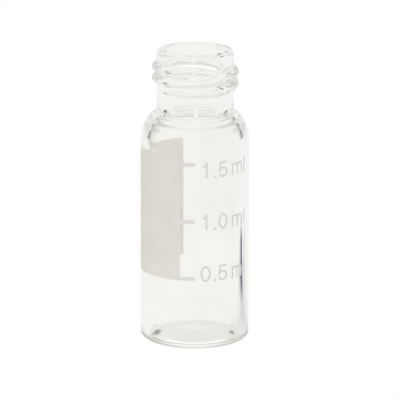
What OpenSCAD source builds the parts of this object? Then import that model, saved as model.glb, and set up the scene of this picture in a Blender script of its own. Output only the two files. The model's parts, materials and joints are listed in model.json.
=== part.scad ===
// Glass sample vial: a clear tube closed at the base, with a rounded shoulder and a screw neck.
// A patch of fired enamel for writing on wraps one side, with a printed volume scale beside it.
// Millimetres. The vial stands on z = 0, the scale faces -Y and the patch covers the -X side.

/* [Body] */
// Outside diameter of the body
body_d = 11.6; // [11.4:0.05:11.8]
// Height from the base to the top of the lip
height = 31.8; // [31.5:0.1:32.6]
// Thickness of the body wall
wall = 0.85; // [0.75:0.05:0.95]
// Height at which the body starts to curve in to the shoulder
shoulder_z = 21.7; // [21.3:0.1:22]
// Distance that the shoulder curves inward before it meets the neck
shoulder_in = 2; // [1.85:0.05:2.1]
// Height of the shoulder's curve
shoulder_h = 3.45; // [3.3:0.05:3.55]

/* [Base] */
// How far the rounded outer corner reaches in under the base
base_in = 1.6; // [1.2:0.1:1.7]
// How far the rounded outer corner reaches up the side
base_up = 0.75; // [0.6:0.05:1.2]
// Thickness of the floor where it meets the wall
floor_t = 0.5; // [0.45:0.05:0.8]
// Radius of the rounded inner corner
floor_round = 0.35; // [0.3:0.05:0.6]
// Inner edge of the flat ring that the vial stands on
foot_r = 4; // [3.6:0.1:4.1]
// Rise of the hollow under the base at its middle
foot_rise = 0.3; // [0.1:0.05:0.4]

/* [Neck] */
// Outside diameter of the neck and the lip
neck_d = 8.24; // [8.1:0.02:8.3]
// Diameter of the mouth and of the bore behind it
mouth_d = 6.1; // [5.9:0.05:6.2]
// Depth of the straight bore below the lip
bore_depth = 7; // [6.8:0.05:7.1]
// How far up the shoulder the inside is drawn out before it turns into the bore
flare = 2.05; // [1.8:0.05:2.3]
// Radius of the hollow between the neck and the shoulder
neck_fillet = 0.65; // [0.5:0.05:0.85]
// Radius of the lip's outer edge
lip_round = 0.48; // [0.3:0.02:0.5]
// Radius of the lip's inner edge
mouth_round = 0.2; // [0.1:0.05:0.3]

/* [Thread] */
// Outside diameter over the thread
thread_d = 9.3; // [9:0.05:9.4]
// Rise of the thread in one turn
thread_pitch = 1.2; // [1.18:0.01:1.3]
// Share of the pitch that the ridge fills
thread_fill = 0.94; // [0.8:0.01:0.95]
// Height of the ridge's middle where the thread passes the +X side
thread_z = 28.13; // [28:0.01:28.2]
// Turns, with both fading ends
thread_turns = 2.26; // [2:0.01:2.3]

/* [Writing patch] */
// Thickness of the fired enamel
enamel_t = 0.03; // [0.03:0.005:0.05]
// Height of the patch's lower edge
patch_z = 7.85; // [7.5:0.05:8.2]
// Height of the patch
patch_h = 13.25; // [12:0.05:13.5]
// Width of the patch, measured round the glass
patch_w = 15.2; // [13:0.1:15.6]
// Gap between the middle of the front and the patch's edge, measured round the glass
patch_gap = 1.6; // [1.4:0.05:2]

/* [Scale] */
// Height of the middle of the lowest mark
mark_z = 8.06; // [8:0.02:8.4]
// Spacing of the marks
mark_step = 6.24; // [6:0.02:6.3]
// Height of each mark
mark_t = 0.42; // [0.3:0.02:0.5]
// Height of the figures
figure_h = 1.72; // [1.4:0.02:1.8]
// Width of a figure
figure_w = 1.1; // [0.9:0.02:1.16]
// Width of a stroke
stroke_w = 0.2; // [0.14:0.01:0.24]
// Height of the lowest row of figures
figure_z = 7.72; // [7.4:0.02:8.2]
// Spacing of the rows of figures
figure_step = 5.67; // [5.4:0.01:6]

/* [Hidden] */
$fn = 96;
body_r = body_d / 2;
inner_r = body_r - wall;
neck_r = neck_d / 2;
mouth_r = mouth_d / 2;
bore_z = height - bore_depth;
enamel_r = body_r + enamel_t;
// Middle of the shoulder's curve, and the angle at which the neck's hollow takes over from it
shoulder_c = body_r - shoulder_in;
function shoulder_pt(a) = [shoulder_c + shoulder_in * cos(a), shoulder_z + shoulder_h * sin(a)];
function shoulder_out(a) = let (n = [cos(a) / shoulder_in, sin(a) / shoulder_h]) n / norm(n);
function hollow_x(a) = shoulder_pt(a)[0] + neck_fillet * shoulder_out(a)[0];
function meet(lo, hi, n) = n == 0 ? lo
    : let (m = (lo + hi) / 2) hollow_x(m) > neck_r + neck_fillet ? meet(m, hi, n - 1) : meet(lo, m, n - 1);
shoulder_a = meet(20, 89, 30);
hollow_c = shoulder_pt(shoulder_a) + neck_fillet * shoulder_out(shoulder_a);
hollow_a = 180 + atan2(shoulder_out(shoulder_a)[1], shoulder_out(shoulder_a)[0]);
// Thread: a half round ridge whose ends fade into the neck
thread_h = (thread_d - neck_d) / 2;
thread_w = thread_pitch * thread_fill / 2;
thread_root = 0.15;
thread_step = 8;
thread_from = -160;
thread_to = thread_from + 360 * thread_turns;
fade_low = 100;
fade_top = 130;
sides = 8;

// Points on an arc about c, from angle a to angle b in n steps
function arc(c, r, a, b, n) = [for (i = [0:n]) let (t = a + (b - a) * i / n) c + r * [cos(t), sin(t)]];
// Points on a curve that leaves p along the handle q and comes in to s along the handle r
function curve(p, q, r, s, n) = [for (i = [0:n]) let (t = i / n, u = 1 - t)
    u * u * u * p + 3 * u * u * t * q + 3 * u * t * t * r + t * t * t * s];
// A shallow dome on the axis: its points from the middle out to radius r
function dome(r, rise, z, n) = [for (i = [0:n]) let (x = r * i / n) [x, z + rise * (1 - pow(x / r, 2))]];
function flip(p) = [for (i = [len(p) - 1:-1:0]) p[i]];

// Outline from the middle of the base, out and up to the lip
outside = concat(
    dome(foot_r, foot_rise, 0, 6),
    [for (i = [0:12]) let (t = 7.5 * i - 90)
        [body_r - base_in + base_in * cos(t), base_up + base_up * sin(t)]],
    [for (i = [0:14]) shoulder_pt(shoulder_a * i / 14)],
    arc(hollow_c, neck_fillet, hollow_a, 180, 6),
    arc([neck_r - lip_round, height - lip_round], lip_round, 0, 90, 5));
// Outline from the mouth down to the middle of the floor
inside = concat(
    arc([mouth_r + mouth_round, height - mouth_round], mouth_round, 90, 180, 4),
    curve([mouth_r, bore_z], [mouth_r + 0.55, bore_z - 0.2], [inner_r, shoulder_z + flare],
        [inner_r, shoulder_z - 0.25], 18),
    arc([inner_r - floor_round, floor_t + floor_round], floor_round, 0, -90, 8),
    flip(dome(inner_r - floor_round, 0.2, floor_t, 4)));

// Share of its full size that the ridge has at angle a along the thread
function swell(t) = t <= 0 ? 0 : t >= 1 ? 1 : t * t * (3 - 2 * t);
function ridge(a) = min(swell((a - thread_from) / fade_low), swell((thread_to - a) / fade_top));
function ridge_ring(a) =
    let (s = ridge(a), w = 0.04 + (thread_w - 0.04) * s, top = (thread_h + thread_root) * s)
    concat([for (i = [0:sides]) let (b = 180 * i / sides, out = neck_r - thread_root + thread_root * s * 0.9)
        let (r = out + (top - thread_root * s * 0.9) * sin(b))
        [r * cos(a), r * sin(a), thread_z + thread_pitch * a / 360 - w * cos(b)]],
        [for (k = [1, -1]) let (r = neck_r - 2 * thread_root)
        [r * cos(a), r * sin(a), thread_z + thread_pitch * a / 360 + w * k]]);

module thread() {
    rings = round((thread_to - thread_from) / thread_step);
    m = sides + 3;
    points = [for (i = [0:rings]) each ridge_ring(thread_from + (thread_to - thread_from) * i / rings)];
    skin = [for (i = [0:rings - 1], k = [0:m - 1]) let (a = i * m + k, b = i * m + (k + 1) % m)
        each [[a, b, b + m], [a, b + m, a + m]]];
    ends = [[for (k = [m - 1:-1:0]) k], [for (k = [0:m - 1]) rings * m + k]];
    polyhedron(points, concat(skin, ends), convexity = 8);
}

module glass_vial() {
    color([0.91, 0.93, 0.91])
        difference() {
            union() {
                rotate_extrude() polygon(concat(outside, [[0, height]]));
                thread();
            }
            rotate_extrude() polygon(concat([[0, height + 1], [mouth_r + mouth_round, height + 1]], inside));
        }
}

// A band of enamel on the glass from angle a to angle b, with 270 at the front
module band(a, b, z, h) {
    translate([0, 0, z])
        rotate([0, 0, a])
        rotate_extrude(angle = b - a)
        translate([body_r, 0])
        square([enamel_t, h]);
}

// Angle round the glass of a length measured along its surface from the front
function turn(len) = len / body_r * 180 / PI;

module writing_patch() {
    color([0.87, 0.86, 0.83]) {
        band(270 - turn(patch_gap + patch_w), 270 - turn(patch_gap), patch_z, patch_h);
        for (i = [0:2]) band(270 - turn(patch_gap + 0.2), 270, mark_z + mark_step * i - mark_t / 2, mark_t);
    }
}

// Outline of a pen stroke of width w along the points p
function unit(v) = v / norm(v);
function side(v) = [-v[1], v[0]];
function heading(p, i) =
    let (a = p[max(i, 1)] - p[max(i, 1) - 1], b = p[min(i + 1, len(p) - 1)] - p[min(i, len(p) - 2)])
    let (m = unit(side(unit(a)) + side(unit(b)))) m / (m * side(unit(a)));
module stroke(p) {
    polygon(concat([for (i = [0:len(p) - 1]) p[i] + heading(p, i) * stroke_w / 2],
        flip([for (i = [0:len(p) - 1]) p[i] - heading(p, i) * stroke_w / 2])));
}

// The figures, each drawn about the middle of its own width
module figure(c) {
    e = stroke_w / 2;
    x = figure_w / 2 - e;
    h = figure_h;
    r = x * 1.02;
    if (c == "0") {
        difference() {
            polygon([for (i = [0:39]) let (t = 9 * i) [(x + e) * cos(t), h / 2 + h / 2 * sin(t)]]);
            polygon([for (i = [0:39]) let (t = 9 * i) [(x - e) * cos(t), h / 2 + (h / 2 - 2 * e) * sin(t)]]);
        }
    }
    if (c == "1") {
        stroke([[0.08, 0], [0.08, h]]);
        stroke(concat([[-0.36, h * 0.74]], arc([-0.3, h * 0.74 + 0.3], 0.3, -75, -10, 4), [[0.02, h]]));
    }
    if (c == "5") {
        stroke(concat([[x - 0.04, h - e], [-x * 0.7, h - e], [-x * 0.9, h * 0.47]],
            arc([-0.02, h * 0.33], h * 0.33 - e, 125, -155, 14)));
    }
    if (c == ".") translate([-stroke_w * 0.6, 0]) square([stroke_w * 1.2, stroke_w * 1.2]);
    if (c == "l") stroke([[0, 0], [0, h]]);
    if (c == "m") {
        for (s = [-1, 0, 1]) stroke([[s * 0.74, 0], [s * 0.74, h * (s == -1 ? 0.73 : 0.5)]]);
        for (s = [-0.37, 0.37])
            stroke(arc([s, h * 0.5], 0.37, 180, 0, 12));
    }
}

// One row of figures: each glyph and the place of its middle, measured round the glass from the front
function row(a, b) = [[a, 1.17], [".", 2.21], [b, 3.14], ["m", 5.15], ["l", 6.45]];

module scale_figures() {
    rows = [row("0", "5"), row("1", "0"), row("1", "5")];
    color([0.85, 0.84, 0.81])
        intersection() {
            difference() {
                cylinder(h = height, r = enamel_r);
                translate([0, 0, -1]) cylinder(h = height + 2, r = body_r);
            }
            union() {
                for (i = [0:2], g = rows[i])
                    translate([0, 0, figure_z + figure_step * i])
                        rotate([90, 0, turn(g[1])])
                        linear_extrude(height = body_r + 1)
                        figure(g[0]);
            }
        }
}

glass_vial();
writing_patch();
scale_figures();
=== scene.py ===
import json
import math

import bpy
from bpy.props import FloatProperty, FloatVectorProperty, IntProperty, PointerProperty
from bpy.types import Operator, Panel, PropertyGroup
from mathutils import Euler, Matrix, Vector
from mathutils.geometry import delaunay_2d_cdt

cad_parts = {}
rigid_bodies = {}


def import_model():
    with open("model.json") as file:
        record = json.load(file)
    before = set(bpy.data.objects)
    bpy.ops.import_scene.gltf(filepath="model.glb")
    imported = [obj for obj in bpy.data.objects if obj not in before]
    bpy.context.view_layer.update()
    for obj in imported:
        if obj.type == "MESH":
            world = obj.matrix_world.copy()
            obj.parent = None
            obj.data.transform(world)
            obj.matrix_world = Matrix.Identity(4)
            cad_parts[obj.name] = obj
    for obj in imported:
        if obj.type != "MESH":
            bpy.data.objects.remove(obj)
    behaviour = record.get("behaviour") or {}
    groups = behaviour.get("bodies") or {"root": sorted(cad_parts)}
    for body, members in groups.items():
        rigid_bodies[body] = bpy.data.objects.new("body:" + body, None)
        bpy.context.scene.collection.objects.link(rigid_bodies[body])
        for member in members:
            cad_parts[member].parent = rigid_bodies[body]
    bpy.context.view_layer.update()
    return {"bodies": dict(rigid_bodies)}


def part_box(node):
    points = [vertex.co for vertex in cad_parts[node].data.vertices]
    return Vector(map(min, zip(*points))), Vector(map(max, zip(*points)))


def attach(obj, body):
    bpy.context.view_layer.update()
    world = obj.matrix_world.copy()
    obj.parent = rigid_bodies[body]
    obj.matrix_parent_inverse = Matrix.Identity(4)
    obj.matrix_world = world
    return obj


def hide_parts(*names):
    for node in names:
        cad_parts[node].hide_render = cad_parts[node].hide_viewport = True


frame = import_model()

bl_info = {
    "name": "Glass sample vial",
    "version": (1, 0, 0),
    "blender": (4, 5, 0),
    "location": "View3D > Sidebar > Vial",
    "description": "A screw neck sample vial in clear glass, with a fired writing patch and volume scale",
    "category": "Object",
}

# All sizes are in metres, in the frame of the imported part: the vial stands on z = 0 and its scale faces -Y
MM = 0.001
BODY = next(iter(frame["bodies"]))
VIAL_LOW, VIAL_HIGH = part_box("glass_vial")
PATCH_LOW, PATCH_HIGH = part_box("writing_patch")
FIGURES_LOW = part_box("scale_figures")[0]

# Thread, in degrees round the neck from +X: where it starts, its turns, and how long each end fades
THREAD_FROM, THREAD_TURNS = -160.0, 2.26
FADE_LOW, FADE_TOP = 100.0, 130.0
# Section of the ridge: 0.5 is a half circle and more is narrower at the top
RIDGE_POWER = 0.62
# Share of the ridge's width that is left where it fades out
RIDGE_THIN = 0.2
# Curve inside the shoulder: reach of its handle at the bore, and how far below the shoulder's foot it ends
FLARE_OUT, FLARE_DOWN, FLARE_FOOT = 0.55 * MM, 0.2 * MM, 0.25 * MM
# Steps of that curve, how many of them are rippled, and steps in half a ripple
FLARE_STEPS, RIPPLE_STEPS, RIPPLE_HALF = 48, 36, 4
# Rise of the floor in the middle
FLOOR_RISE = 0.2 * MM
# Halvings that find where the shoulder turns into the hollow below the neck
HALVINGS = 40

# Spacing of the mesh in the patch and in the figures, and the share of it that inner points keep from an edge
PATCH_STEP, FIGURE_STEP, EDGE_SHARE = 0.25 * MM, 0.12 * MM, 0.6
# Points nearer than this are one point, along an outline and in the filled sheet
SAME_POINT, WELD = 1e-8, 1e-7
# Edges of the enamel that turn by more than this stay crisp
CRISP = math.radians(50)
# Rows of figures from the lowest up, and the middle of each glyph in millimetres round from the front
ROWS = ("0.5ml", "1.0ml", "1.5ml")
ROW_PLACES = (1.17, 2.21, 3.14, 5.15, 6.45)
# How strongly the enamel is mottled, and the share of the light that it lets through
MOTTLE, LET_THROUGH = 0.10, 0.3
GLASS_IOR = 1.473

# Width and height of a place in a laid out node tree
COLUMN, ROW = 220, 260
# Point that the camera looks at, and the nearest and furthest that it sees
AIM, CLIP = (0.54 * MM, 0.0, 15.24 * MM), (0.01, 10.0)
# Radius and sides of the bench, and how far it lies under the vial
BENCH_RADIUS, BENCH_SIDES, BENCH_DROP = 0.9, 64, 0.02 * MM
# Light passes the glass very many times before it leaves the thread and the rim
BOUNCES, DULL_BOUNCES = 160, 24


def length(name, description, default_mm):
    """A size in metres whose default is given in millimetres."""
    return FloatProperty(name=name, description=description, default=default_mm * MM, min=0.0,
                         unit="LENGTH", precision=5)


def tint(name, description, default):
    """A colour, in linear light."""
    return FloatVectorProperty(name=name, description=description, default=default, size=3,
                               subtype="COLOR", min=0.0, max=1.0)


class GlassSettings(PropertyGroup):
    """Sizes and colour of the glass."""

    body_radius: length("Body radius", "Outside radius of the body", (VIAL_HIGH.x - VIAL_LOW.x) / 2 / MM)
    height: length("Height", "From the base to the top of the lip", 31.8)
    wall: length("Wall", "Thickness of the body wall", 0.85)
    shoulder_z: length("Shoulder height", "Where the body starts to curve in", 21.7)
    shoulder_in: length("Shoulder depth", "How far the shoulder curves in before the neck", 2.0)
    shoulder_h: length("Shoulder rise", "Height of the shoulder's curve", 3.45)
    base_in: length("Base corner width", "How far the round outer corner reaches in under the base", 1.6)
    base_up: length("Base corner height", "How far the round outer corner reaches up the side", 0.75)
    floor_t: length("Floor", "Thickness of the floor at its edge", 0.5)
    floor_round: length("Floor corner", "Radius of the rounded inner corner", 0.35)
    foot_r: length("Foot", "Inner edge of the ring that the vial stands on", 4.0)
    foot_rise: length("Hollow", "Rise of the hollow under the base", 0.3)
    neck_r: length("Neck radius", "Outside radius of the neck and lip", 4.12)
    mouth_r: length("Mouth radius", "Radius of the mouth and the bore behind it", 3.05)
    bore_depth: length("Bore depth", "Depth of the straight bore", 7.0)
    flare: length("Flare", "How far up the shoulder the inside stays wide", 2.05)
    neck_fillet: length("Neck hollow", "Radius of the hollow between neck and shoulder", 0.65)
    lip_round: length("Lip edge", "Radius of the lip's outer edge", 0.48)
    mouth_round: length("Mouth edge", "Radius of the lip's inner edge", 0.2)
    thread_r: length("Thread radius", "Radius over the ridge of the thread", 4.65)
    thread_pitch: length("Thread pitch", "Rise of the thread in one turn", 1.2)
    thread_w: length("Ridge width", "Width of the ridge at its root", 1.15)
    thread_z: length("Thread height", "Height of the ridge where it passes the +X side", 28.13)
    thread_foot: FloatProperty(name="Ridge foot",
                               description="How softly the ridge runs into the neck, 0 is a crease",
                               default=0.35, min=0.0, max=1.0, subtype="FACTOR")
    ripple: length("Ripple", "Height of the ripples that forming left inside the shoulder", 0.018)
    segments: IntProperty(name="Segments", description="Sides of the turned glass",
                          default=288, min=24, max=360)
    colour: tint("Glass", "Tint of the glass", (0.994, 0.992, 0.983))


class PrintSettings(PropertyGroup):
    """Sizes and colours of the fired enamel."""

    coat: length("Coat", "Height of the enamel over the glass", 0.02)
    gap: length("Gap", "Hair's breadth kept between the enamel and the glass", 0.003)
    patch_z: length("Patch height", "Height of the patch's lower edge", PATCH_LOW.z / MM)
    patch_h: length("Patch length", "From the patch's lower edge to its upper edge",
                    (PATCH_HIGH.z - PATCH_LOW.z) / MM)
    patch_w: length("Patch width", "Width of the patch, measured round the glass", 15.2)
    patch_gap: length("Patch gap", "From the middle of the front to the patch", 1.6)
    mark_z: length("Lowest mark", "Height of the middle of the lowest mark", 8.06)
    mark_step: length("Mark spacing", "Spacing of the marks", 6.24)
    mark_t: length("Mark height", "Height of each mark", 0.42)
    figure_h: length("Figure height", "Height of the figures", 1.72)
    figure_w: length("Figure width", "Width of a figure", 1.1)
    stroke_w: length("Stroke", "Width of a stroke", 0.2)
    figure_z: length("Lowest figures", "Height of the lowest row of figures", FIGURES_LOW.z / MM)
    figure_step: length("Row spacing", "Spacing of the rows of figures", 5.67)
    colour: tint("Enamel", "Colour of the patch's face", (0.875, 0.853, 0.828))
    figures: tint("Figures", "Colour of the figures' face", (0.82, 0.82, 0.81))
    # Painted light: the back is paler than the face, to make up for the dimmer light that reaches it inside
    # the glass
    back: tint("Painted paler back", "Colour of the enamel's side that lies on the glass", (0.95, 0.93, 0.912))
    glow: tint("Glow", "Colour of the light that comes through the enamel", (0.875, 0.855, 0.832))


class StageSettings(PropertyGroup):
    """Camera and light."""

    distance: FloatProperty(name="Distance", description="From the camera to the vial", default=0.42,
                            unit="LENGTH")
    elevation: FloatProperty(name="Elevation", description="Angle of the camera above the bench",
                             default=math.radians(14.39), subtype="ANGLE")
    lean: FloatProperty(name="Lean", description="Roll of the camera",
                        default=math.radians(0.15), subtype="ANGLE")
    lens: FloatProperty(name="Lens", description="Focal length of the camera", default=352.4,
                        subtype="DISTANCE_CAMERA")
    tent: tint("Tent", "Colour of the light tent as the vial sees it", (0.903, 0.91, 0.882))


# ---------------------------------------------------------------- outlines

def arc(cx, cy, r, start, end, steps):
    """Points on an arc, with the angles in degrees."""
    turns = [math.radians(start + (end - start) * i / steps) for i in range(steps + 1)]
    return [(cx + r * math.cos(t), cy + r * math.sin(t)) for t in turns]


def curve(a, b, c, d, steps):
    """Points on a curve that leaves a along the handle b and comes in to d along the handle c."""
    points = []
    for i in range(steps + 1):
        t = i / steps
        u = 1 - t
        k = (u * u * u, 3 * u * u * t, 3 * u * t * t, t * t * t)
        points.append(tuple(sum(w * p[axis] for w, p in zip(k, (a, b, c, d))) for axis in (0, 1)))
    return points


def line(a, b, steps):
    """Points from a to b, without either end."""
    return [tuple(a[k] + (b[k] - a[k]) * i / steps for k in (0, 1)) for i in range(1, steps)]


def dome(r, rise, z, steps):
    """A shallow dome from the axis out to radius r."""
    return [(r * i / steps, z + rise * (1 - (i / steps) ** 2)) for i in range(steps + 1)]


def shoulder(s):
    """The outer curve of the shoulder and the hollow that joins it to the neck."""
    centre = s.body_radius - s.shoulder_in

    def point(a):
        return centre + s.shoulder_in * math.cos(a), s.shoulder_z + s.shoulder_h * math.sin(a)

    def outward(a):
        n = Vector((math.cos(a) / s.shoulder_in, math.sin(a) / s.shoulder_h))
        return n.normalized()

    # Halve the range of the angle until a circle that touches the shoulder there touches the neck as well
    low, high = math.radians(20), math.radians(89)
    for _ in range(HALVINGS):
        middle = (low + high) / 2
        if point(middle)[0] + s.neck_fillet * outward(middle).x > s.neck_r + s.neck_fillet:
            low = middle
        else:
            high = middle
    n = outward(low)
    x, z = point(low)
    hollow = (x + s.neck_fillet * n.x, z + s.neck_fillet * n.y)
    facing = 180 + math.degrees(math.atan2(n.y, n.x))
    return [point(low * i / 28) for i in range(29)] + arc(*hollow, s.neck_fillet, facing, 180, 14)[1:]


def outside_of(s):
    """Outline of the outer surface, from the middle of the base to the top of the lip."""
    base = dome(s.foot_r, s.foot_rise, 0, 14)
    turns = [math.radians(90 * i / 20 - 90) for i in range(21)]
    corner = [(s.body_radius - s.base_in * (1 - math.cos(t)), s.base_up * (1 + math.sin(t))) for t in turns]
    side = line(corner[-1], (s.body_radius, s.shoulder_z), 12)
    rise = shoulder(s)
    lip = arc(s.neck_r - s.lip_round, s.height - s.lip_round, s.lip_round, 0, 90, 8)
    neck = line(rise[-1], lip[0], 140)
    return base + corner + side + rise + neck + lip


def ripple_at(s, i):
    """How far one step of the curve inside the shoulder is rippled. The ripples fade at both ends."""
    return s.ripple * math.sin(math.pi * min(i / RIPPLE_STEPS, 1)) * math.sin(math.pi * i / RIPPLE_HALF)


def inside_of(s):
    """Outline of the inner surface, from the mouth down to the middle of the floor."""
    inner = s.body_radius - s.wall
    bore_z = s.height - s.bore_depth
    edge = arc(s.mouth_r + s.mouth_round, s.height - s.mouth_round, s.mouth_round, 90, 180, 6)
    bore = line(edge[-1], (s.mouth_r, bore_z), 8)
    flare = curve((s.mouth_r, bore_z), (s.mouth_r + FLARE_OUT, bore_z - FLARE_DOWN),
                  (inner, s.shoulder_z + s.flare), (inner, s.shoulder_z - FLARE_FOOT), FLARE_STEPS)
    flare = [(r + ripple_at(s, i), z) for i, (r, z) in enumerate(flare)]
    corner = arc(inner - s.floor_round, s.floor_t + s.floor_round, s.floor_round, 0, -90, 14)
    side = line(flare[-1], corner[0], 12)
    floor = dome(inner - s.floor_round, FLOOR_RISE, s.floor_t, 12)[::-1]
    return edge + bore + flare + side + corner + floor[1:]


# ---------------------------------------------------------------- glass

def swell(t):
    """Rises smoothly from 0 to 1."""
    t = min(max(t, 0.0), 1.0)
    return t * t * (3 - 2 * t)


def ridge_at(s, angle, z):
    """How far the thread stands out from the neck, at an angle in degrees and a height."""
    end = THREAD_FROM + 360 * THREAD_TURNS
    full = math.hypot(1, s.thread_foot) - s.thread_foot
    best = 0.0
    along = angle - 360 * math.ceil((angle - THREAD_FROM) / 360) + 360
    while along < end:
        share = min(swell((along - THREAD_FROM) / FADE_LOW), swell((end - along) / FADE_TOP))
        half = s.thread_w / 2 * (RIDGE_THIN + (1 - RIDGE_THIN) * share)
        off = (z - s.thread_z - s.thread_pitch * along / 360) / half
        if abs(off) < 1:
            rise = (math.hypot((1 - off * off) ** RIDGE_POWER, s.thread_foot) - s.thread_foot) / full
            best = max(best, share * (s.thread_r - s.neck_r) * rise)
        along += 360
    return best


def lathe(name, outside, inside, segments, lift):
    """A closed turned solid. lift(angle, z) is added to the outside's radius."""
    rings = [(p, True) for p in outside[1:]] + [(p, False) for p in inside[:-1]]
    points = [(0.0, 0.0, outside[0][1])]
    for (r, z), outer in rings:
        for k in range(segments):
            angle = 360 * k / segments
            radius = r + (lift(angle, z) if outer else 0.0)
            t = math.radians(angle)
            points.append((radius * math.cos(t), radius * math.sin(t), z))
    points.append((0.0, 0.0, inside[-1][1]))
    last = len(points) - 1
    faces = [(0, 1 + (k + 1) % segments, 1 + k) for k in range(segments)]
    for i in range(len(rings) - 1):
        a, b = 1 + i * segments, 1 + (i + 1) * segments
        for k in range(segments):
            n = (k + 1) % segments
            faces.append((a + k, a + n, b + n, b + k))
    top = 1 + (len(rings) - 1) * segments
    faces += [(last, top + k, top + (k + 1) % segments) for k in range(segments)]
    mesh = bpy.data.meshes.new(name)
    mesh.from_pydata(points, [], faces)
    mesh.shade_smooth()
    mesh.validate()
    piece = bpy.data.objects.new(name, mesh)
    bpy.context.collection.objects.link(piece)
    return piece


# ---------------------------------------------------------------- print

def stroke(path, width):
    """Outline of a pen stroke of an even width along a path."""
    left, right = [], []
    for i, p in enumerate(path):
        before = Vector(path[max(i, 1)]) - Vector(path[max(i, 1) - 1])
        after = Vector(path[min(i + 1, len(path) - 1)]) - Vector(path[min(i, len(path) - 2)])
        a = Vector((-before.y, before.x)).normalized()
        b = Vector((-after.y, after.x)).normalized()
        m = (a + b).normalized()
        m = m / m.dot(a) * width / 2
        left.append((p[0] + m.x, p[1] + m.y))
        right.append((p[0] - m.x, p[1] - m.y))
    return left + right[::-1]


def oval(rx, ry, cy, steps=48):
    """An ellipse about (0, cy)."""
    return [(rx * math.cos(2 * math.pi * i / steps), cy + ry * math.sin(2 * math.pi * i / steps))
            for i in range(steps)]


def glyph(s, name):
    """Closed outlines of one glyph about the middle of its width, on its base line."""
    w, h, half = s.stroke_w, s.figure_h, s.figure_w / 2
    if name == "0":
        return [oval(half, h / 2, h / 2), oval(half - w, h / 2 - w, h / 2)]
    if name == "1":
        stem, flag = 0.08 * MM, h * 0.74
        left, right = stem - w / 2, stem + w / 2
        over = arc(-0.3 * MM, flag + 0.34 * MM, 0.26 * MM, -15, -90, 5)
        return [[(left, 0), (right, 0), (right, h), (left + 0.03 * MM, h)] + over
                + [(-0.38 * MM, flag - 0.1 * MM), (left, flag - 0.06 * MM)]]
    if name == "5":
        x, bar, bowl = half - w / 2, h - w / 2, h * 0.33
        return [stroke([(x - 0.04 * MM, bar), (-x * 0.7, bar), (-x * 0.9, h * 0.47)]
                       + arc(-0.02 * MM, bowl, bowl - w / 2, 125, -155, 22), w)]
    if name == ".":
        d = w * 0.6
        return [[(-d, 0), (d, 0), (d, 2 * d), (-d, 2 * d)]]
    if name == "l":
        return [[(-w / 2, 0), (w / 2, 0), (w / 2, h), (-w / 2, h)]]
    # The m: three stems and the two arches between them
    reach, spring, top = 0.74 * MM, h * 0.5, h * 0.73
    outer, inner = reach / 2 + w / 2, reach / 2 - w / 2
    edge = reach + w / 2
    outline = [(-edge, 0), (-edge + w, 0), (-edge + w, spring)]
    outline += arc(-reach / 2, spring, inner, 180, 0, 14)[1:]
    outline += [(-w / 2, 0), (w / 2, 0), (w / 2, spring)] + arc(reach / 2, spring, inner, 180, 0, 14)[1:]
    outline += [(edge - w, 0), (edge, 0)] + arc(reach / 2, spring, outer, 0, 118, 12)
    outline += arc(-reach / 2, spring, outer, 62, 118, 8) + [(-edge + w, top), (-edge, top)]
    return [outline]


def patch_outline(s):
    """Outline of the writing patch with its marks: distance round from the front, and height."""
    left, right = -s.patch_gap - s.patch_w, -s.patch_gap
    low, high = s.patch_z, s.patch_z + s.patch_h
    outline = [(left, high), (left, low), (right, low)]
    for i in range(len(ROWS)):
        middle = s.mark_z + s.mark_step * i
        bottom, top = middle - s.mark_t / 2, middle + s.mark_t / 2
        outline += [(right, bottom), (0.0, bottom), (0.0, top), (right, top)]
    return outline + [(right, high)]


def walk(outline, step):
    """The same closed outline with points no further apart than step."""
    points = []
    for i, a in enumerate(outline):
        b = outline[(i + 1) % len(outline)]
        gap = math.dist(a, b)
        if gap < SAME_POINT:
            continue
        count = max(1, math.ceil(gap / step))
        points += [a] + line(a, b, count)
    return points


def within(outlines, x, y):
    """True inside an odd number of the outlines."""
    inside = False
    for outline in outlines:
        for i, (ax, ay) in enumerate(outline):
            bx, by = outline[i - 1]
            if (ay > y) != (by > y) and x < (bx - ax) * (y - ay) / (by - ay) + ax:
                inside = not inside
    return inside


def sheet_of_print(outlines, step):
    """Points and triangles that fill the outlines."""
    loops = [walk(o, step) for o in outlines]
    points, edges = [], []
    for loop in loops:
        first = len(points)
        points += [Vector(p) for p in loop]
        edges += [(first + i, first + (i + 1) % len(loop)) for i in range(len(loop))]
    xs = [p[0] for loop in loops for p in loop]
    ys = [p[1] for loop in loops for p in loop]
    border = list(points)
    left, width = min(xs), max(xs) - min(xs)
    bottom, height = min(ys), max(ys) - min(ys)
    columns, rows = int(width / step), int(height / step)
    room = step * EDGE_SHARE
    if columns > 2 and rows > 2:
        for i in range(1, columns):
            for j in range(1, rows):
                p = Vector((left + width * i / columns, bottom + height * j / rows))
                if within(loops, p.x, p.y) and all(abs(p.x - q.x) + abs(p.y - q.y) > room for q in border):
                    points.append(p)
    flat, _, faces, *_ = delaunay_2d_cdt(points, edges, [], 0, WELD)
    kept = []
    for face in faces:
        middle = sum((flat[i] for i in face), Vector((0, 0))) / len(face)
        if within(loops, middle.x, middle.y):
            kept.append(tuple(face))
    return flat, kept


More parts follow.
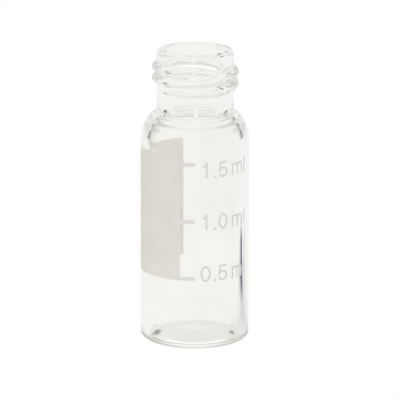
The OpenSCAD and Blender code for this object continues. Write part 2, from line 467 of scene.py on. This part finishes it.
def print_on_glass(name, groups, s, radius, step):
    """One closed shell of enamel for each group of outlines, wrapped round the glass."""
    points, faces = [], []
    for outlines in groups:
        flat, filled = sheet_of_print(outlines, step)
        used = {}
        for face in filled:
            for i in face:
                used.setdefault(i, len(used))
        first = len(points)
        for r in (radius + s.coat, radius + s.gap):
            for i in used:
                turn = flat[i].x / radius
                points.append((r * math.sin(turn), -r * math.cos(turn), flat[i].y))
        count = len(used)
        sides = {}
        for face in filled:
            ring = [used[i] for i in face]
            faces.append([first + i for i in ring])
            faces.append([first + count + i for i in reversed(ring)])
            for k, a in enumerate(ring):
                b = ring[(k + 1) % len(ring)]
                if (b, a) in sides:
                    del sides[(b, a)]
                else:
                    sides[(a, b)] = True
        faces += [(first + b, first + a, first + count + a, first + count + b) for a, b in sides]
    mesh = bpy.data.meshes.new(name)
    mesh.from_pydata(points, [], faces)
    mesh.validate()
    mesh.shade_smooth()
    mesh.set_sharp_from_angle(angle=CRISP)
    piece = bpy.data.objects.new(name, mesh)
    bpy.context.collection.objects.link(piece)
    return piece


# ---------------------------------------------------------------- finishes

def add(tree, kind, **values):
    """A new node with its settings and its plain input values set by name."""
    node = tree.nodes.new(kind)
    for key, value in values.items():
        if hasattr(node, key):
            setattr(node, key, value)
        else:
            node.inputs[key.replace("_", " ")].default_value = value
    return node


def maths(tree, operation, *values):
    """A maths node's result. Each value is a number or a socket."""
    node = add(tree, "ShaderNodeMath", operation=operation)
    for socket, value in zip(node.inputs, values):
        if isinstance(value, (int, float)):
            socket.default_value = value
        else:
            tree.links.new(value, socket)
    return node.outputs[0]


def set_out(tree):
    """Lay a tree's nodes out in columns, each to the left of the nodes that it feeds."""
    column = {node.name: 0 for node in tree.nodes}
    for _ in tree.nodes:
        for link in tree.links:
            column[link.from_node.name] = max(column[link.from_node.name], column[link.to_node.name] + 1)
    filled = {}
    for node in tree.nodes:
        across = column[node.name]
        node.location = (-COLUMN * across, -ROW * filled.get(across, 0))
        filled[across] = filled.get(across, 0) + 1


def new_group(name, inputs, outputs):
    """An empty node group with named sockets, each given with its kind."""
    group = bpy.data.node_groups.new(name, "ShaderNodeTree")
    for direction, sockets in (("INPUT", inputs), ("OUTPUT", outputs)):
        for label, kind in sockets:
            group.interface.new_socket(name=label, in_out=direction, socket_type="NodeSocket" + kind)
    return group, add(group, "NodeGroupInput"), add(group, "NodeGroupOutput")


def new_finish(name):
    """A material with an empty node tree."""
    material = bpy.data.materials.new(name)
    material.use_nodes = True
    material.node_tree.nodes.clear()
    return material, material.node_tree


def fired_enamel():
    """Node group: tone, roughness and tooth of printed and fired enamel, with painted light that makes it
    paler on the back where it meets the glass.
    """
    if "Fired enamel" in bpy.data.node_groups:
        return bpy.data.node_groups["Fired enamel"]
    group, start, end = new_group(
        "Fired enamel",
        (("Face", "Color"), ("Painted paler back", "Color"), ("Mottle", "Float"), ("Tooth", "Float")),
        (("Colour", "Color"), ("Roughness", "Float"), ("Height", "Float")))
    link = group.links.new
    place = group.nodes.new("ShaderNodeTexCoord")
    stretch = add(group, "ShaderNodeMapping", Scale=(1.0, 1.0, 0.22))
    link(place.outputs["Object"], stretch.inputs["Vector"])
    squeegee = add(group, "ShaderNodeTexNoise", Scale=900.0, Detail=3.0, Roughness=0.6)
    link(stretch.outputs["Vector"], squeegee.inputs["Vector"])
    cloud = add(group, "ShaderNodeTexNoise", Scale=420.0, Detail=2.0)
    link(place.outputs["Object"], cloud.inputs["Vector"])
    uneven = maths(group, "ADD", squeegee.outputs["Fac"], cloud.outputs["Fac"])
    uneven = maths(group, "SUBTRACT", uneven, 1.0)
    tone = maths(group, "MULTIPLY_ADD", uneven, start.outputs["Mottle"], 1.0)
    # The outer face looks away from the vial's axis and the back looks towards it; the back gets the paler
    # colour, painted light that makes up for the dimmer light inside the glass
    spoke = add(group, "ShaderNodeVectorMath", operation="MULTIPLY")
    spoke.inputs[1].default_value = (1.0, 1.0, 0.0)
    link(place.outputs["Object"], spoke.inputs[0])
    facing = add(group, "ShaderNodeVectorMath", operation="DOT_PRODUCT")
    link(spoke.outputs["Vector"], facing.inputs[0])
    link(place.outputs["Normal"], facing.inputs[1])
    side = add(group, "ShaderNodeMapRange", From_Min=-1 * MM, From_Max=1 * MM)
    link(facing.outputs["Value"], side.inputs["Value"])
    face = add(group, "ShaderNodeMix", data_type="RGBA")
    link(side.outputs["Result"], face.inputs["Factor"])
    link(start.outputs["Painted paler back"], face.inputs["A"])
    link(start.outputs["Face"], face.inputs["B"])
    shade = add(group, "ShaderNodeVectorMath", operation="SCALE")
    link(face.outputs["Result"], shade.inputs[0])
    link(tone, shade.inputs["Scale"])
    link(shade.outputs["Vector"], end.inputs["Colour"])
    tooth = add(group, "ShaderNodeTexNoise", Scale=16000.0, Detail=2.0)
    link(place.outputs["Object"], tooth.inputs["Vector"])
    rough = add(group, "ShaderNodeMapRange", To_Min=0.55, To_Max=0.8)
    link(tooth.outputs["Fac"], rough.inputs["Value"])
    link(rough.outputs["Result"], end.inputs["Roughness"])
    link(maths(group, "MULTIPLY", tooth.outputs["Fac"], start.outputs["Tooth"]), end.inputs["Height"])
    set_out(group)
    return group


def enamel(name, face, back, glow, mottle, through):
    """Matt fired enamel. through is the share of the light that it lets pass, in the colour of glow."""
    material, tree = new_finish(name)
    link = tree.links.new
    fired = add(tree, "ShaderNodeGroup", node_tree=fired_enamel())
    values = {"Face": (*face, 1.0), "Painted paler back": (*back, 1.0), "Mottle": mottle, "Tooth": 1.0}
    for key, value in values.items():
        fired.inputs[key].default_value = value
    bump = add(tree, "ShaderNodeBump", Strength=0.25, Distance=0.01 * MM)
    link(fired.outputs["Height"], bump.inputs["Height"])
    coat = add(tree, "ShaderNodeBsdfPrincipled", Specular_IOR_Level=0.35)
    link(fired.outputs["Colour"], coat.inputs["Base Color"])
    link(fired.outputs["Roughness"], coat.inputs["Roughness"])
    link(bump.outputs["Normal"], coat.inputs["Normal"])
    passed = add(tree, "ShaderNodeBsdfTranslucent", Color=(*glow, 1.0))
    link(bump.outputs["Normal"], passed.inputs["Normal"])
    both = add(tree, "ShaderNodeMixShader", Fac=through)
    link(coat.outputs["BSDF"], both.inputs[1])
    link(passed.outputs["BSDF"], both.inputs[2])
    out = add(tree, "ShaderNodeOutputMaterial")
    link(both.outputs["Shader"], out.inputs["Surface"])
    set_out(tree)
    return material


def clear_glass(colour):
    """Clear glass with faint draw lines along the tube."""
    material, tree = new_finish("clear_glass")
    link = tree.links.new
    place = add(tree, "ShaderNodeTexCoord")
    stretch = add(tree, "ShaderNodeMapping", Scale=(1.0, 1.0, 0.05))
    link(place.outputs["Object"], stretch.inputs["Vector"])
    lines = add(tree, "ShaderNodeTexNoise", Scale=1200.0, Detail=3.0)
    link(stretch.outputs["Vector"], lines.inputs["Vector"])
    tone = add(tree, "ShaderNodeMapRange", To_Min=0.992, To_Max=1.006)
    link(lines.outputs["Fac"], tone.inputs["Value"])
    shade = add(tree, "ShaderNodeVectorMath", operation="SCALE")
    shade.inputs[0].default_value = colour
    link(tone.outputs["Result"], shade.inputs["Scale"])
    bump = add(tree, "ShaderNodeBump", Strength=0.2, Distance=0.004 * MM)
    link(lines.outputs["Fac"], bump.inputs["Height"])
    glass = add(tree, "ShaderNodeBsdfPrincipled", Roughness=0.0, IOR=GLASS_IOR, Transmission_Weight=1.0)
    link(shade.outputs["Vector"], glass.inputs["Base Color"])
    link(bump.outputs["Normal"], glass.inputs["Normal"])
    out = add(tree, "ShaderNodeOutputMaterial")
    link(glass.outputs["BSDF"], out.inputs["Surface"])
    set_out(tree)
    return material


# ---------------------------------------------------------------- pieces

class VIAL_OT_glass(Operator):
    """Turn the glass: base, body, shoulder, threaded neck and lip in one solid."""

    bl_idname = "vial.glass"
    bl_label = "Turn the glass"

    def execute(self, context):
        s = context.scene.vial_glass
        piece = lathe("vial_glass", outside_of(s), inside_of(s), s.segments,
                      lambda angle, z: ridge_at(s, angle, z))
        piece.data.materials.append(clear_glass(s.colour))
        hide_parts("glass_vial")
        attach(piece, BODY)
        return {"FINISHED"}


class VIAL_OT_patch(Operator):
    """Fire the writing patch and its three marks on to the glass."""

    bl_idname = "vial.patch"
    bl_label = "Fire the writing patch"

    def execute(self, context):
        s = context.scene.vial_print
        radius = context.scene.vial_glass.body_radius
        piece = print_on_glass("enamel_patch", [[patch_outline(s)]], s, radius, PATCH_STEP)
        finish = enamel("patch_enamel", s.colour, s.back, s.glow, MOTTLE, LET_THROUGH)
        piece.data.materials.append(finish)
        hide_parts("writing_patch")
        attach(piece, BODY)
        return {"FINISHED"}


class VIAL_OT_figures(Operator):
    """Print the three rows of figures beside the marks."""

    bl_idname = "vial.figures"
    bl_label = "Print the figures"

    def execute(self, context):
        s = context.scene.vial_print
        radius = context.scene.vial_glass.body_radius
        groups = []
        for i, row in enumerate(ROWS):
            for name, place in zip(row, ROW_PLACES):
                z = s.figure_z + s.figure_step * i
                groups.append([[(x + place * MM, y + z) for x, y in o] for o in glyph(s, name)])
        piece = print_on_glass("enamel_figures", groups, s, radius, FIGURE_STEP)
        finish = enamel("figure_enamel", s.figures, s.back, s.figures, MOTTLE, LET_THROUGH)
        piece.data.materials.append(finish)
        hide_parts("scale_figures")
        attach(piece, BODY)
        return {"FINISHED"}


# ---------------------------------------------------------------- stage

# The numbers of a card, in the order that the tables of cards give them
CARD_NUMBERS = ("Centre", "Half Width", "Side Edge", "Low", "High", "End Edge")


def soft_card():
    """Node group: lays one card with soft edges over a colour, placed by bearing and height."""
    if "Soft card" in bpy.data.node_groups:
        return bpy.data.node_groups["Soft card"]
    numbers = [(label, "Float") for label in ("Bearing", "Height", *CARD_NUMBERS)]
    group, start, end = new_group("Soft card", [("Under", "Color"), ("Card", "Color"), *numbers],
                                  [("Over", "Color")])
    link = group.links.new
    ports = start.outputs

    def past(value, at, width):
        """1 well past an edge and 0 well before it."""
        node = add(group, "ShaderNodeMapRange", interpolation_type="SMOOTHSTEP")
        link(value, node.inputs["Value"])
        link(maths(group, "SUBTRACT", at, width), node.inputs["From Min"])
        link(maths(group, "ADD", at, width), node.inputs["From Max"])
        return node.outputs["Result"]

    aside = maths(group, "SUBTRACT", ports["Bearing"], ports["Centre"])
    aside = maths(group, "WRAP", aside, 180.0, -180.0)
    outer = past(maths(group, "ABSOLUTE", aside), ports["Half Width"], ports["Side Edge"])
    bottom = past(ports["Height"], ports["Low"], ports["End Edge"])
    top = past(ports["Height"], ports["High"], ports["End Edge"])
    between = maths(group, "MULTIPLY", bottom, maths(group, "SUBTRACT", 1.0, top))
    mask = maths(group, "MULTIPLY", between, maths(group, "SUBTRACT", 1.0, outer))
    lay = add(group, "ShaderNodeMix", data_type="RGBA")
    link(mask, lay.inputs["Factor"])
    link(ports["Under"], lay.inputs["A"])
    link(ports["Card"], lay.inputs["B"])
    link(lay.outputs["Result"], end.inputs["Over"])
    set_out(group)
    return group


def lay_cards(tree, below, across, along, cards):
    """Lays the cards in turn over a colour, placed by two sockets. Returns the last one's colour socket."""
    for name, colour, *numbers in cards:
        card = add(tree, "ShaderNodeGroup", node_tree=soft_card(), label=name)
        card.inputs["Card"].default_value = (*colour, 1.0)
        for key, number in zip(CARD_NUMBERS, numbers):
            card.inputs[key].default_value = number
        tree.links.new(across, card.inputs["Bearing"])
        tree.links.new(along, card.inputs["Height"])
        if isinstance(below, tuple):
            card.inputs["Under"].default_value = (*below, 1.0)
        else:
            tree.links.new(below, card.inputs["Under"])
        below = card.outputs["Over"]
    return below


def bearing_of(tree, place):
    """Degrees round from straight behind the vial, with + to its right."""
    return maths(tree, "DEGREES", maths(tree, "ARCTAN2", place.outputs["X"], place.outputs["Y"]))


def white_to_camera(tree, colour):
    """White where the camera looks straight at it, and the colour as the vial sees it."""
    path = add(tree, "ShaderNodeLightPath")
    pick = add(tree, "ShaderNodeMix", data_type="RGBA")
    tree.links.new(path.outputs["Is Camera Ray"], pick.inputs["Factor"])
    tree.links.new(colour, pick.inputs["A"])
    pick.inputs["B"].default_value = (1.0, 1.0, 1.0, 1.0)
    return pick.outputs["Result"]


def warm(level):
    """A white of a given brightness under the studio's warm lamps."""
    return (level * 0.988, level, level * 0.972)


def brown(level):
    """A painted brown shade of a given brightness, for the bench under the rim; it stands in for the brown of
    light that has gone through the whole rim.
    """
    return (level * 1.02, level, level * 0.86)


def dusk(level):
    """The warm grey of the places that the lamps hardly reach."""
    return (level * 1.02, level, level * 0.96)


# Each card: name, colour, bearing, half width, softness, lower edge, upper edge, softness, in degrees
ROOM_CARDS = (
    ("sweep", warm(0.81), 0, 36, 4, -10, 30, 6),
    ("foot of the sweep", dusk(0.66), 0, 20, 10, -4, 6, 3),
    ("strip of back light", warm(1.0), 0.1, 0.5, 0.35, -5, 7, 3),
    ("gap left of the sweep", warm(0.06), -58, 14, 5, -20, 42, 6),
    ("gap right of the sweep", warm(0.30), 46, 8, 4, -20, 34, 6),
    ("dark edge of the sweep, right", warm(0.1), 43, 5, 3, 18, 30, 4),
    ("dim wall above the sweep", dusk(0.48), 0, 60, 15, 31, 43, 4),
    ("side light, left", warm(1.0), -108, 18, 8, -20, 40, 8),
    ("side light, right", warm(0.95), 120, 30, 10, -20, 40, 10),
    ("overhead light", warm(1.12), 0, 180, 1, 65, 120, 8),
    ("front wall", warm(0.83), 180, 40, 15, -20, 40, 10),
)
# On the bench, the distance from the vial's axis in millimetres takes the place of the height. These cards
# are painted light and painted shade on the glowing bench: painted shade under the vial and its rim, painted
# contact shadows where it touches, and painted pools of light.
BENCH_CARDS = (
    ("far bench", warm(0.86), 0, 40, 10, 200, 1000, 50),
    ("painted shade on the far edge of the bench", dusk(0.70), 0, 20, 10, 400, 1000, 80),
    ("strip of back light", warm(0.99), 0.1, 0.5, 0.35, 350, 1000, 60),
    ("painted shade under the vial", warm(0.82), 0, 180, 1, -5, 7.4, 1),
    ("light under the front", warm(1.12), 180, 55, 15, 3.2, 4.4, 0.4),
    ("painted shade under the rim, front", brown(0.50), 180, 56, 14, 4.8, 6.6, 0.3),
    ("painted shade under the rim, left", brown(0.48), -108, 22, 10, 4.4, 6.2, 0.4),
    ("painted shade under the rim, right", brown(0.55), 112, 16, 10, 4.4, 6.0, 0.4),
    ("painted contact shadow, left", warm(0.0), -81, 12, 4, 3.85, 4.6, 0.1),
    ("painted contact shadow, right", warm(0.0), 81, 8, 4, 3.9, 4.4, 0.1),
    ("painted shade on the far left of the bench", warm(0.10), -72, 20, 6, 180, 1000, 50),
    ("lit bench, front left", warm(1.1), -130, 45, 15, 12, 50, 8),
    ("lit bench, front right", warm(1.08), 150, 50, 20, 90, 900, 30),
)
# The vial's own shadow on the bench, in millimetres across it and along it, and its direction in degrees
SHADOW_TURN = 48
SHADOW_CARDS = (
    ("shadow", warm(0.66), 3.2, 3.4, 2.5, 8, 27, 8),
    ("edge of the shadow", (0.0, 0.01, 0.05), 5.9, 3.9, 0.8, 22.5, 50, 6),
)


def room(s):
    """The studio: plain white to the camera, and cards and gaps all round as the glass sees it."""
    world = bpy.data.worlds.new("studio")
    bpy.context.scene.world = world
    world.use_nodes = True
    tree = world.node_tree
    tree.nodes.clear()
    link = tree.links.new
    place = add(tree, "ShaderNodeTexCoord")
    axes = add(tree, "ShaderNodeSeparateXYZ")
    link(place.outputs["Generated"], axes.inputs["Vector"])
    rise = maths(tree, "DEGREES", maths(tree, "ARCSINE", axes.outputs["Z"]))
    light = lay_cards(tree, tuple(s.tent), bearing_of(tree, axes), rise, ROOM_CARDS)
    sky = add(tree, "ShaderNodeBackground")
    link(white_to_camera(tree, light), sky.inputs["Color"])
    out = add(tree, "ShaderNodeOutputWorld")
    link(sky.outputs["Background"], out.inputs["Surface"])
    set_out(tree)


def bench_with_painted_light_and_shade(s):
    """The bench: plain white to the camera, and as the glass sees it, a glow with painted shade, painted
    contact shadows, the vial's painted shadow and painted pools of light round the vial.
    """
    material, tree = new_finish("bench_with_painted_light_and_shade")
    link = tree.links.new
    place = add(tree, "ShaderNodeTexCoord")
    spot = add(tree, "ShaderNodeSeparateXYZ")
    link(place.outputs["Object"], spot.inputs["Vector"])
    away = add(tree, "ShaderNodeVectorMath", operation="LENGTH")
    link(place.outputs["Object"], away.inputs[0])
    distance = maths(tree, "MULTIPLY", away.outputs["Value"], 1 / MM)
    turned = add(tree, "ShaderNodeMapping", Rotation=(0, 0, math.radians(SHADOW_TURN)),
                 Scale=(1 / MM, 1 / MM, 1))
    link(place.outputs["Object"], turned.inputs["Vector"])
    shadow_spot = add(tree, "ShaderNodeSeparateXYZ")
    link(turned.outputs["Vector"], shadow_spot.inputs["Vector"])
    light = lay_cards(tree, tuple(s.tent), bearing_of(tree, spot), distance, BENCH_CARDS)
    light = lay_cards(tree, light, shadow_spot.outputs["X"], shadow_spot.outputs["Y"], SHADOW_CARDS)
    glow = add(tree, "ShaderNodeEmission")
    link(white_to_camera(tree, light), glow.inputs["Color"])
    out = add(tree, "ShaderNodeOutputMaterial")
    link(glow.outputs["Emission"], out.inputs["Surface"])
    set_out(tree)
    return material


class VIAL_OT_stage(Operator):
    """Set the bench, the light and the camera."""

    bl_idname = "vial.stage"
    bl_label = "Set the stage"

    def execute(self, context):
        scene = context.scene
        s = scene.vial_stage
        scene.view_settings.view_transform = "Standard"
        room(s)
        mesh = bpy.data.meshes.new("studio_floor")
        turns = [2 * math.pi * i / BENCH_SIDES for i in range(BENCH_SIDES)]
        edge = [(BENCH_RADIUS * math.cos(t), BENCH_RADIUS * math.sin(t), -BENCH_DROP) for t in turns]
        mesh.from_pydata(edge, [], [tuple(range(BENCH_SIDES))])
        mesh.materials.append(bench_with_painted_light_and_shade(s))
        floor = bpy.data.objects.new("studio_floor", mesh)
        context.collection.objects.link(floor)

        back = Vector((0.0, -math.cos(s.elevation), math.sin(s.elevation)))
        camera = bpy.data.objects.new("camera", bpy.data.cameras.new("camera"))
        context.collection.objects.link(camera)
        camera.data.lens = s.lens
        camera.data.clip_start, camera.data.clip_end = CLIP
        camera.location = Vector(AIM) + back * s.distance
        turn = (-back).to_track_quat("-Z", "Y").to_matrix() @ Euler((0, 0, s.lean)).to_matrix()
        camera.rotation_euler = turn.to_euler()
        scene.camera = camera

        cycles = scene.cycles
        cycles.max_bounces = cycles.transmission_bounces = cycles.glossy_bounces = BOUNCES
        cycles.diffuse_bounces = DULL_BOUNCES
        cycles.blur_glossy = 0.0
        return {"FINISHED"}


class VIAL_PT_panel(Panel):
    """The vial's operators and sizes in the sidebar."""

    bl_label = "Glass sample vial"
    bl_idname = "VIAL_PT_panel"
    bl_space_type = "VIEW_3D"
    bl_region_type = "UI"
    bl_category = "Vial"

    def draw(self, context):
        for operator in STEPS:
            self.layout.operator(operator.bl_idname)
        for name, settings in SETTINGS.items():
            box = self.layout.box()
            box.label(text=name.replace("_", " ").capitalize())
            for key in settings.__annotations__:
                box.prop(getattr(context.scene, name), key)


# The operators in the order that main calls them, and the settings by the names that they have on the scene
STEPS = (VIAL_OT_glass, VIAL_OT_patch, VIAL_OT_figures, VIAL_OT_stage)
SETTINGS = {"vial_glass": GlassSettings, "vial_print": PrintSettings, "vial_stage": StageSettings}


def register():
    """Register the classes and hang the settings on the scene."""
    for cls in (*SETTINGS.values(), *STEPS, VIAL_PT_panel):
        bpy.utils.register_class(cls)
    for name, cls in SETTINGS.items():
        setattr(bpy.types.Scene, name, PointerProperty(type=cls))


def unregister():
    """Undo register."""
    for name in SETTINGS:
        delattr(bpy.types.Scene, name)
    for cls in (VIAL_PT_panel, *reversed(STEPS), *SETTINGS.values()):
        bpy.utils.unregister_class(cls)


def main():
    """Build the vial and its stage."""
    register()
    bpy.ops.vial.glass()
    bpy.ops.vial.patch()
    bpy.ops.vial.figures()
    bpy.ops.vial.stage()


if __name__ == "__main__":
    main()
